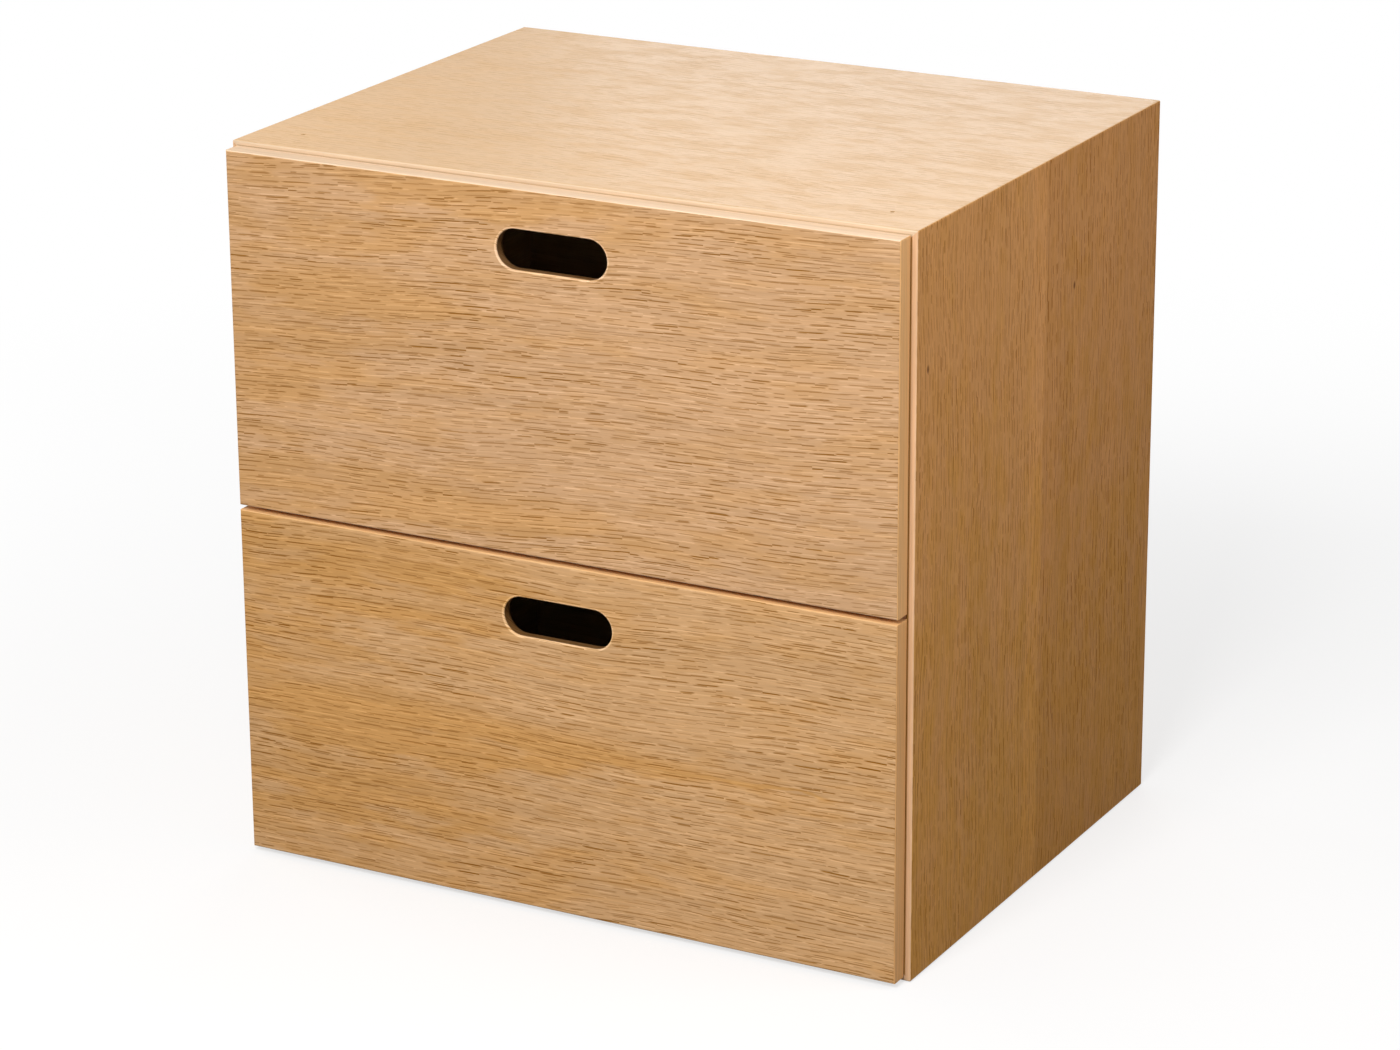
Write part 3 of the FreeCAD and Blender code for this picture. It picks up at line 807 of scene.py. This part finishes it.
def finish_plywood(node, grain, start):
    """Thin plywood: faces of one grain, with its layers showing along the edges."""
    board = begin_board(node, "plywood", grain, start, PLAIN_LOOK)
    tree = board.tree
    z = axes(tree, board.place)[2]
    layer_height = (board.high.z - board.low.z) / PLY_LAYERS
    layer = maths(tree, "DIVIDE", maths(tree, "SUBTRACT", z, board.low.z), layer_height)
    middle = maths(tree, "PINGPONG", layer, 1.0)
    edge = maths(tree, "SUBTRACT", 1.0, board.faces["Face Z"])
    ply_line = maths(tree, "MULTIPLY", spread(tree, middle, *PLY_LINE_RANGE), edge)
    colour = blended(tree, ply_line, figure_colour(board, PLY_TONES), solid(PLY_CORE))
    set_surface(board, PLAIN_ROUGHNESS)
    dress(board, colour)


def finish_carcass():
    """Veneer on the carcass boards, plain beech on its tongues and runners."""
    finish_top()
    finish_side("right_side_panel", SIDE_SHADED_TONES)
    finish_side("left_side_panel", LEFT_SIDE_TONES)
    finish_panel("bottom_panel", "x", SIDE_SHADED_TONES, {"Face Y": ("x", SIDE_SHADED_TONES["tape"])})
    finish_panel("back_panel", "z", BACK_TONES, {})
    start = CARCASS_BEECH_START
    for node in CARCASS_BEECH:
        start += CARCASS_BEECH_STEP
        finish_plain(node, "y", BEECH_TONES, start)


def finish_drawer(drawer):
    """The plain woods of a drawer behind its front."""
    start = LOG_STARTS[drawer]
    for piece, grain, tones, further in DRAWER_WOODS:
        finish_plain(drawer + "_" + piece, grain, tones, start + further)
    finish_plywood(drawer + "_bottom", "x", start + DRAWER_BOTTOM_START)


# Screws and bumpers

def small_part_finish(name, tones, mark, specular, metallic, roughness):
    """Metal or rubber with a cloudy surface and fine marks."""
    material, tree, sockets, place = new_finish(name, specular)
    sockets["Metallic"].default_value = metallic
    clouds = even_clouds(tree, place, mark)
    dark, pale = tones
    share = spread(tree, clouds, *NOISE_RANGE)
    tree.links.new(blended(tree, share, solid(dark), solid(pale)), sockets["Base Color"])
    tree.links.new(spread(tree, clouds, *NOISE_RANGE, *roughness), sockets["Roughness"])
    inputs = {"Strength": CLOUD_BUMP, "Distance": mark * CLOUD_DEPTH_SHARE, "Height": clouds}
    bump = add_node(tree, "ShaderNodeBump", inputs)
    tree.links.new(bump.outputs[0], sockets["Normal"])
    return material


def deselect_all():
    bpy.ops.object.select_all(action="DESELECT")


def make_active(piece):
    """Only this piece is selected and active."""
    deselect_all()
    piece.select_set(True)
    bpy.context.view_layer.objects.active = piece


def select_faces(piece, wanted):
    """In edit mode, only the faces whose middle and normal pass the test."""
    bpy.ops.mesh.select_all(action="DESELECT")
    mesh = bmesh.from_edit_mesh(piece.data)
    for face in mesh.faces:
        if wanted(face.calc_center_median(), face.normal):
            face.select_set(True)
    bmesh.update_edit_mesh(piece.data)


def select_rim(piece, height):
    """In edit mode, only the edges that lie at one height."""
    bpy.ops.mesh.select_all(action="DESELECT")
    bpy.ops.mesh.select_mode(type="EDGE")
    mesh = bmesh.from_edit_mesh(piece.data)
    near = SCREW_RIM * NEAR_SHARE
    for edge in mesh.edges:
        if all(abs(vertex.co.z - height) < near for vertex in edge.verts):
            edge.select_set(True)
    bmesh.update_edit_mesh(piece.data)


def draw_on(step, widen, height):
    """The selected end face carried on upwards by a step and widened or narrowed about the axis."""
    bpy.ops.mesh.extrude_region_move(TRANSFORM_OT_translate={"value": (0, 0, step)})
    bpy.ops.transform.resize(value=(widen, widen, 1), center_override=(0, 0, height + step))
    return height + step


def apply_boolean(piece, tool, operation):
    """The tool cut from the piece or joined to it, and then deleted."""
    make_active(piece)
    bpy.ops.object.modifier_add(type="BOOLEAN")
    boolean = piece.modifiers[-1]
    boolean.operation = operation
    boolean.solver = "EXACT"
    boolean.object = tool
    bpy.ops.object.modifier_apply(modifier=boolean.name)
    bpy.data.objects.remove(tool)


def model_recess(head):
    """Tapered cross that cuts the drive recess into a screw head at the origin."""
    width = head * RECESS_WIDTH_SHARE
    arm = head * RECESS_ARM_SHARE
    depth = head * RECESS_DEPTH_SHARE
    deselect_all()
    bpy.ops.mesh.primitive_cube_add(size=1, location=(0, 0, 0))
    cross = bpy.context.object
    cross.scale = (width * 2, width * 2, depth * 2)
    bpy.ops.object.transform_apply(location=True, rotation=True, scale=True)
    bpy.ops.object.mode_set(mode="EDIT")
    bpy.ops.mesh.select_mode(type="FACE")
    for direction in (Vector((1, 0, 0)), Vector((-1, 0, 0)), Vector((0, 1, 0)), Vector((0, -1, 0))):
        face_middle = direction * width
        select_faces(cross, lambda middle, normal: (middle - face_middle).length < width * NEAR_SHARE)
        bpy.ops.mesh.extrude_region_move(TRANSFORM_OT_translate={"value": direction * (arm - width)})
    select_faces(cross, lambda middle, normal: normal.z > FACING_UP)
    bpy.ops.transform.resize(value=(RECESS_TAPER, RECESS_TAPER, 1), center_override=(0, 0, depth))
    bpy.ops.mesh.select_all(action="SELECT")
    bpy.ops.mesh.normals_make_consistent(inside=False)
    bpy.ops.object.mode_set(mode="OBJECT")
    return cross


def model_thread(shank, start, end):
    """Thread: a three-sided ridge wound round the core of a screw and rooted in it."""
    crest = shank / 2
    root = crest * SCREW_CORE_SHARE * THREAD_ROOT_SHARE
    pitch = shank * THREAD_PITCH_SHARE
    ridge = (crest - root) / RIDGE_HEIGHT_RADII
    deselect_all()
    bpy.ops.mesh.primitive_circle_add(vertices=RIDGE_SIDES, radius=ridge, fill_type="NOTHING",
                                      location=(0, 0, 0))
    thread = bpy.context.object
    thread.rotation_euler = (math.pi / 2, math.pi / 2, 0)
    thread.location = (crest - ridge, 0, start)
    bpy.ops.object.transform_apply(location=True, rotation=True, scale=True)
    bpy.ops.object.modifier_add(type="SCREW")
    winding = thread.modifiers[-1]
    winding.axis = "Z"
    winding.screw_offset = pitch
    winding.iterations = int((end - start) / pitch)
    winding.steps = THREAD_STEPS
    winding.render_steps = THREAD_STEPS
    bpy.ops.object.modifier_apply(modifier=winding.name)
    bpy.ops.object.mode_set(mode="EDIT")
    bpy.ops.mesh.select_all(action="SELECT")
    bpy.ops.mesh.fill_holes(sides=RIDGE_SIDES)
    bpy.ops.mesh.select_all(action="SELECT")
    bpy.ops.mesh.normals_make_consistent(inside=False)
    bpy.ops.object.mode_set(mode="OBJECT")
    return thread


def model_screw(head, shank, length):
    """Countersunk wood screw with a cross recess, its head at the origin and its tip up."""
    rim = head / 2
    neck = shank / 2
    cone = rim - neck
    neck_length = length * SCREW_NECK_SHARE
    deselect_all()
    bpy.ops.mesh.primitive_cylinder_add(vertices=SCREW_SIDES, radius=rim, depth=SCREW_RIM,
                                        location=(0, 0, SCREW_RIM / 2))
    screw = bpy.context.object
    bpy.ops.object.transform_apply(location=True, rotation=True, scale=True)
    bpy.ops.object.mode_set(mode="EDIT")
    bpy.ops.mesh.select_mode(type="FACE")
    select_faces(screw, lambda middle, normal: normal.z > FACING_UP)
    height = draw_on(cone, neck / rim, SCREW_RIM)
    height = draw_on(neck_length, 1.0, height)
    height = draw_on(neck * (1 - SCREW_CORE_SHARE), SCREW_CORE_SHARE, height)
    thread_start = height
    height = draw_on(length - shank - height, 1.0, height)
    bpy.ops.mesh.extrude_region_move(TRANSFORM_OT_translate={"value": (0, 0, shank)})
    bpy.ops.mesh.merge(type="CENTER")
    select_rim(screw, 0.0)
    bpy.ops.mesh.bevel(offset=SCREW_ROUND, segments=SCREW_ROUND_STEPS, affect="EDGES")
    bpy.ops.object.mode_set(mode="OBJECT")
    apply_boolean(screw, model_thread(shank, thread_start, height), "UNION")
    apply_boolean(screw, model_recess(head), "DIFFERENCE")
    make_active(screw)
    bpy.ops.object.mode_set(mode="EDIT")
    bpy.ops.mesh.select_all(action="SELECT")
    bpy.ops.mesh.remove_doubles(threshold=SCREW_WELD)
    bpy.ops.object.mode_set(mode="OBJECT")
    bpy.ops.object.shade_smooth_by_angle(angle=SMOOTH_ANGLE)
    return screw


def model_bumper(radius, thickness):
    """Soft disc with a well rounded rear rim, its flat side at the origin and its round side up."""
    deselect_all()
    bpy.ops.mesh.primitive_cylinder_add(vertices=BUMPER_SIDES, radius=radius, depth=thickness,
                                        location=(0, 0, thickness / 2))
    disc = bpy.context.object
    bpy.ops.object.transform_apply(location=True, rotation=True, scale=True)
    bpy.ops.object.mode_set(mode="EDIT")
    select_rim(disc, thickness)
    bpy.ops.mesh.bevel(offset=thickness * BUMPER_ROUND_SHARE, segments=BUMPER_ROUND_STEPS, affect="EDGES")
    bpy.ops.object.mode_set(mode="OBJECT")
    bpy.ops.object.shade_smooth_by_angle(angle=SMOOTH_ANGLE)
    return disc


def copy_to(master, name, place, turn, body, node):
    """A copy with its own mesh, set in its place, that rides on a body and stands for a node."""
    make_active(master)
    bpy.ops.object.duplicate(linked=False)
    piece = bpy.context.object
    piece.name = name
    piece.location = place
    piece.rotation_euler = turn
    bpy.ops.object.transform_apply(location=True, rotation=True, scale=True)
    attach(piece, body)
    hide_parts(node)


def fit_runner_screws(zinc):
    """Three screws through each runner into the carcass side."""
    node = "runner_screws"
    far_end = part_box(node)[1].x
    inner_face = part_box("upper_right_runner")[0].x
    master = model_screw(RUNNER_SCREW["head"], RUNNER_SCREW["shank"], far_end - inner_face)
    master.data.materials.append(zinc)
    for level in ("upper", "lower"):
        for side, sign in (("left", -1), ("right", 1)):
            low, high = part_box(level + "_" + side + "_runner")
            for number, share in enumerate(RUNNER_SCREW_SHARES, 1):
                name = f"{level}_{side}_runner_screw_{number}"
                y = low.y + share * (high.y - low.y)
                place = (sign * inner_face, y, (low.z + high.z) / 2)
                turn = (0, sign * math.pi / 2, 0)
                copy_to(master, name, place, turn, "carcass", node)
    bpy.data.objects.remove(master)


def fit_bottom_screws(drawer, zinc):
    """Three screws through the drawer bottom into the drawer back."""
    node = drawer + "_bottom_screws"
    low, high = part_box(node)
    rim = BOTTOM_SCREW["head"] / 2
    master = model_screw(BOTTOM_SCREW["head"], BOTTOM_SCREW["shank"], high.z - low.z)
    master.data.materials.append(zinc)
    places = {"left": low.x + rim, "middle": (low.x + high.x) / 2, "right": high.x - rim}
    for where, x in places.items():
        place = (x, (low.y + high.y) / 2, low.z)
        copy_to(master, f"{drawer}_{where}_bottom_screw", place, (0, 0, 0), drawer, node)
    bpy.data.objects.remove(master)


def fit_bumpers(drawer, rubber):
    """Four soft discs on the back of the drawer front."""
    node = drawer + "_bumpers"
    low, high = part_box(node)
    radius = BUMPER_DIAMETER / 2
    master = model_bumper(radius, high.y - low.y)
    master.data.materials.append(rubber)
    for side, x in (("left", low.x + radius), ("right", high.x - radius)):
        for level, z in (("bottom", low.z + radius), ("top", high.z - radius)):
            name = f"{drawer}_{level}_{side}_bumper"
            copy_to(master, name, (x, low.y, z), (-math.pi / 2, 0, 0), drawer, node)
    bpy.data.objects.remove(master)


# Studio

def seen_ray(tree):
    """1 for rays that show the background itself: to the camera, in gloss and through glass."""
    path = tree.nodes.new("ShaderNodeLightPath").outputs
    seen = maths(tree, "MAXIMUM", path["Is Camera Ray"], path["Is Glossy Ray"])
    return maths(tree, "MAXIMUM", seen, path["Is Transmission Ray"])


def lay_floor():
    """A pale floor that keeps the soft shadow near the object and is white further out."""
    bpy.ops.mesh.primitive_plane_add(size=FLOOR_SIZE, location=(0, 0, -FLOOR_DROP))
    floor = bpy.context.object
    floor.name = "studio_floor"
    material = bpy.data.materials.new("pale_floor")
    material.use_nodes = True
    tree = material.node_tree
    tree.nodes.clear()
    place = tree.nodes.new("ShaderNodeTexCoord").outputs["Object"]
    lit_share = spread(tree, vector_length(tree, place), *SHADOW_FADE, FLOOR_SHOWN, 0.0)
    bounce = add_node(tree, "ShaderNodeBsdfDiffuse", {"Color": solid((FLOOR_BOUNCE,) * 3)})
    shown = add_node(tree, "ShaderNodeBsdfDiffuse", {"Color": grey(tree, lit_share)})
    glow = add_node(tree, "ShaderNodeEmission", {"Strength": maths(tree, "SUBTRACT", 1.0, lit_share)})
    lit = add_node(tree, "ShaderNodeAddShader", {0: shown.outputs[0], 1: glow.outputs[0]})
    inputs = {0: seen_ray(tree), 1: bounce.outputs[0], 2: lit.outputs[0]}
    both = add_node(tree, "ShaderNodeMixShader", inputs)
    output = tree.nodes.new("ShaderNodeOutputMaterial")
    tree.links.new(both.outputs[0], output.inputs["Surface"])
    floor.data.materials.append(material)


def light_room():
    """An even grey room that shows white behind the object."""
    world = bpy.data.worlds.new("studio")
    bpy.context.scene.world = world
    world.use_nodes = True
    tree = world.node_tree
    tree.nodes.clear()
    white = solid((1.0, 1.0, 1.0))
    room = add_node(tree, "ShaderNodeBackground", {"Color": white, "Strength": ROOM_LIGHT})
    backdrop = add_node(tree, "ShaderNodeBackground", {"Color": white, "Strength": 1.0})
    inputs = {0: seen_ray(tree), 1: room.outputs[0], 2: backdrop.outputs[0]}
    both = add_node(tree, "ShaderNodeMixShader", inputs)
    output = tree.nodes.new("ShaderNodeOutputWorld")
    tree.links.new(both.outputs[0], output.inputs["Surface"])


def hang_lamp(name, place, aim, size, power):
    """A square soft box that faces its aim."""
    turn = (Vector(place) - Vector(aim)).to_track_quat("Z", "Y").to_euler()
    bpy.ops.object.light_add(type="AREA", location=place, rotation=turn)
    lamp = bpy.context.object
    lamp.name = name
    lamp.data.size = size
    lamp.data.energy = power
    lamp.visible_camera = False


def set_up_camera():
    """The photograph's own viewpoint."""
    level = Euler((math.pi / 2 - CAMERA_ELEVATION, 0, CAMERA_AZIMUTH)).to_matrix()
    rolled = level @ Matrix.Rotation(CAMERA_ROLL, 3, "Z")
    bpy.ops.object.camera_add(location=CAMERA_PLACE, rotation=rolled.to_euler())
    camera = bpy.context.object
    camera.data.sensor_width = SENSOR_WIDTH
    camera.data.lens = SENSOR_WIDTH * FOCAL_PIXELS / PHOTO_WIDTH
    bpy.context.scene.camera = camera


deselect_all()
finish_carcass()
finish_front("upper_drawer", UPPER_TONES, UPPER_GOLD, UPPER_PALE, UPPER_LEAN, UPPER_SLOPE)
finish_front("lower_drawer", LOWER_TONES, LOWER_GOLD, LOWER_PALE, LOWER_LEAN, LOWER_SLOPE)
finish_drawer("upper_drawer")
finish_drawer("lower_drawer")

zinc_steel = small_part_finish("zinc_steel", **ZINC)
soft_rubber = small_part_finish("soft_rubber", **RUBBER)
fit_runner_screws(zinc_steel)
for drawer_name in ("upper_drawer", "lower_drawer"):
    fit_bottom_screws(drawer_name, zinc_steel)
    fit_bumpers(drawer_name, soft_rubber)

deselect_all()
lay_floor()
light_room()
for lamp_name, lamp_values in LAMPS.items():
    hang_lamp(lamp_name, **lamp_values)
set_up_camera()
bpy.context.scene.view_settings.view_transform = "Standard"
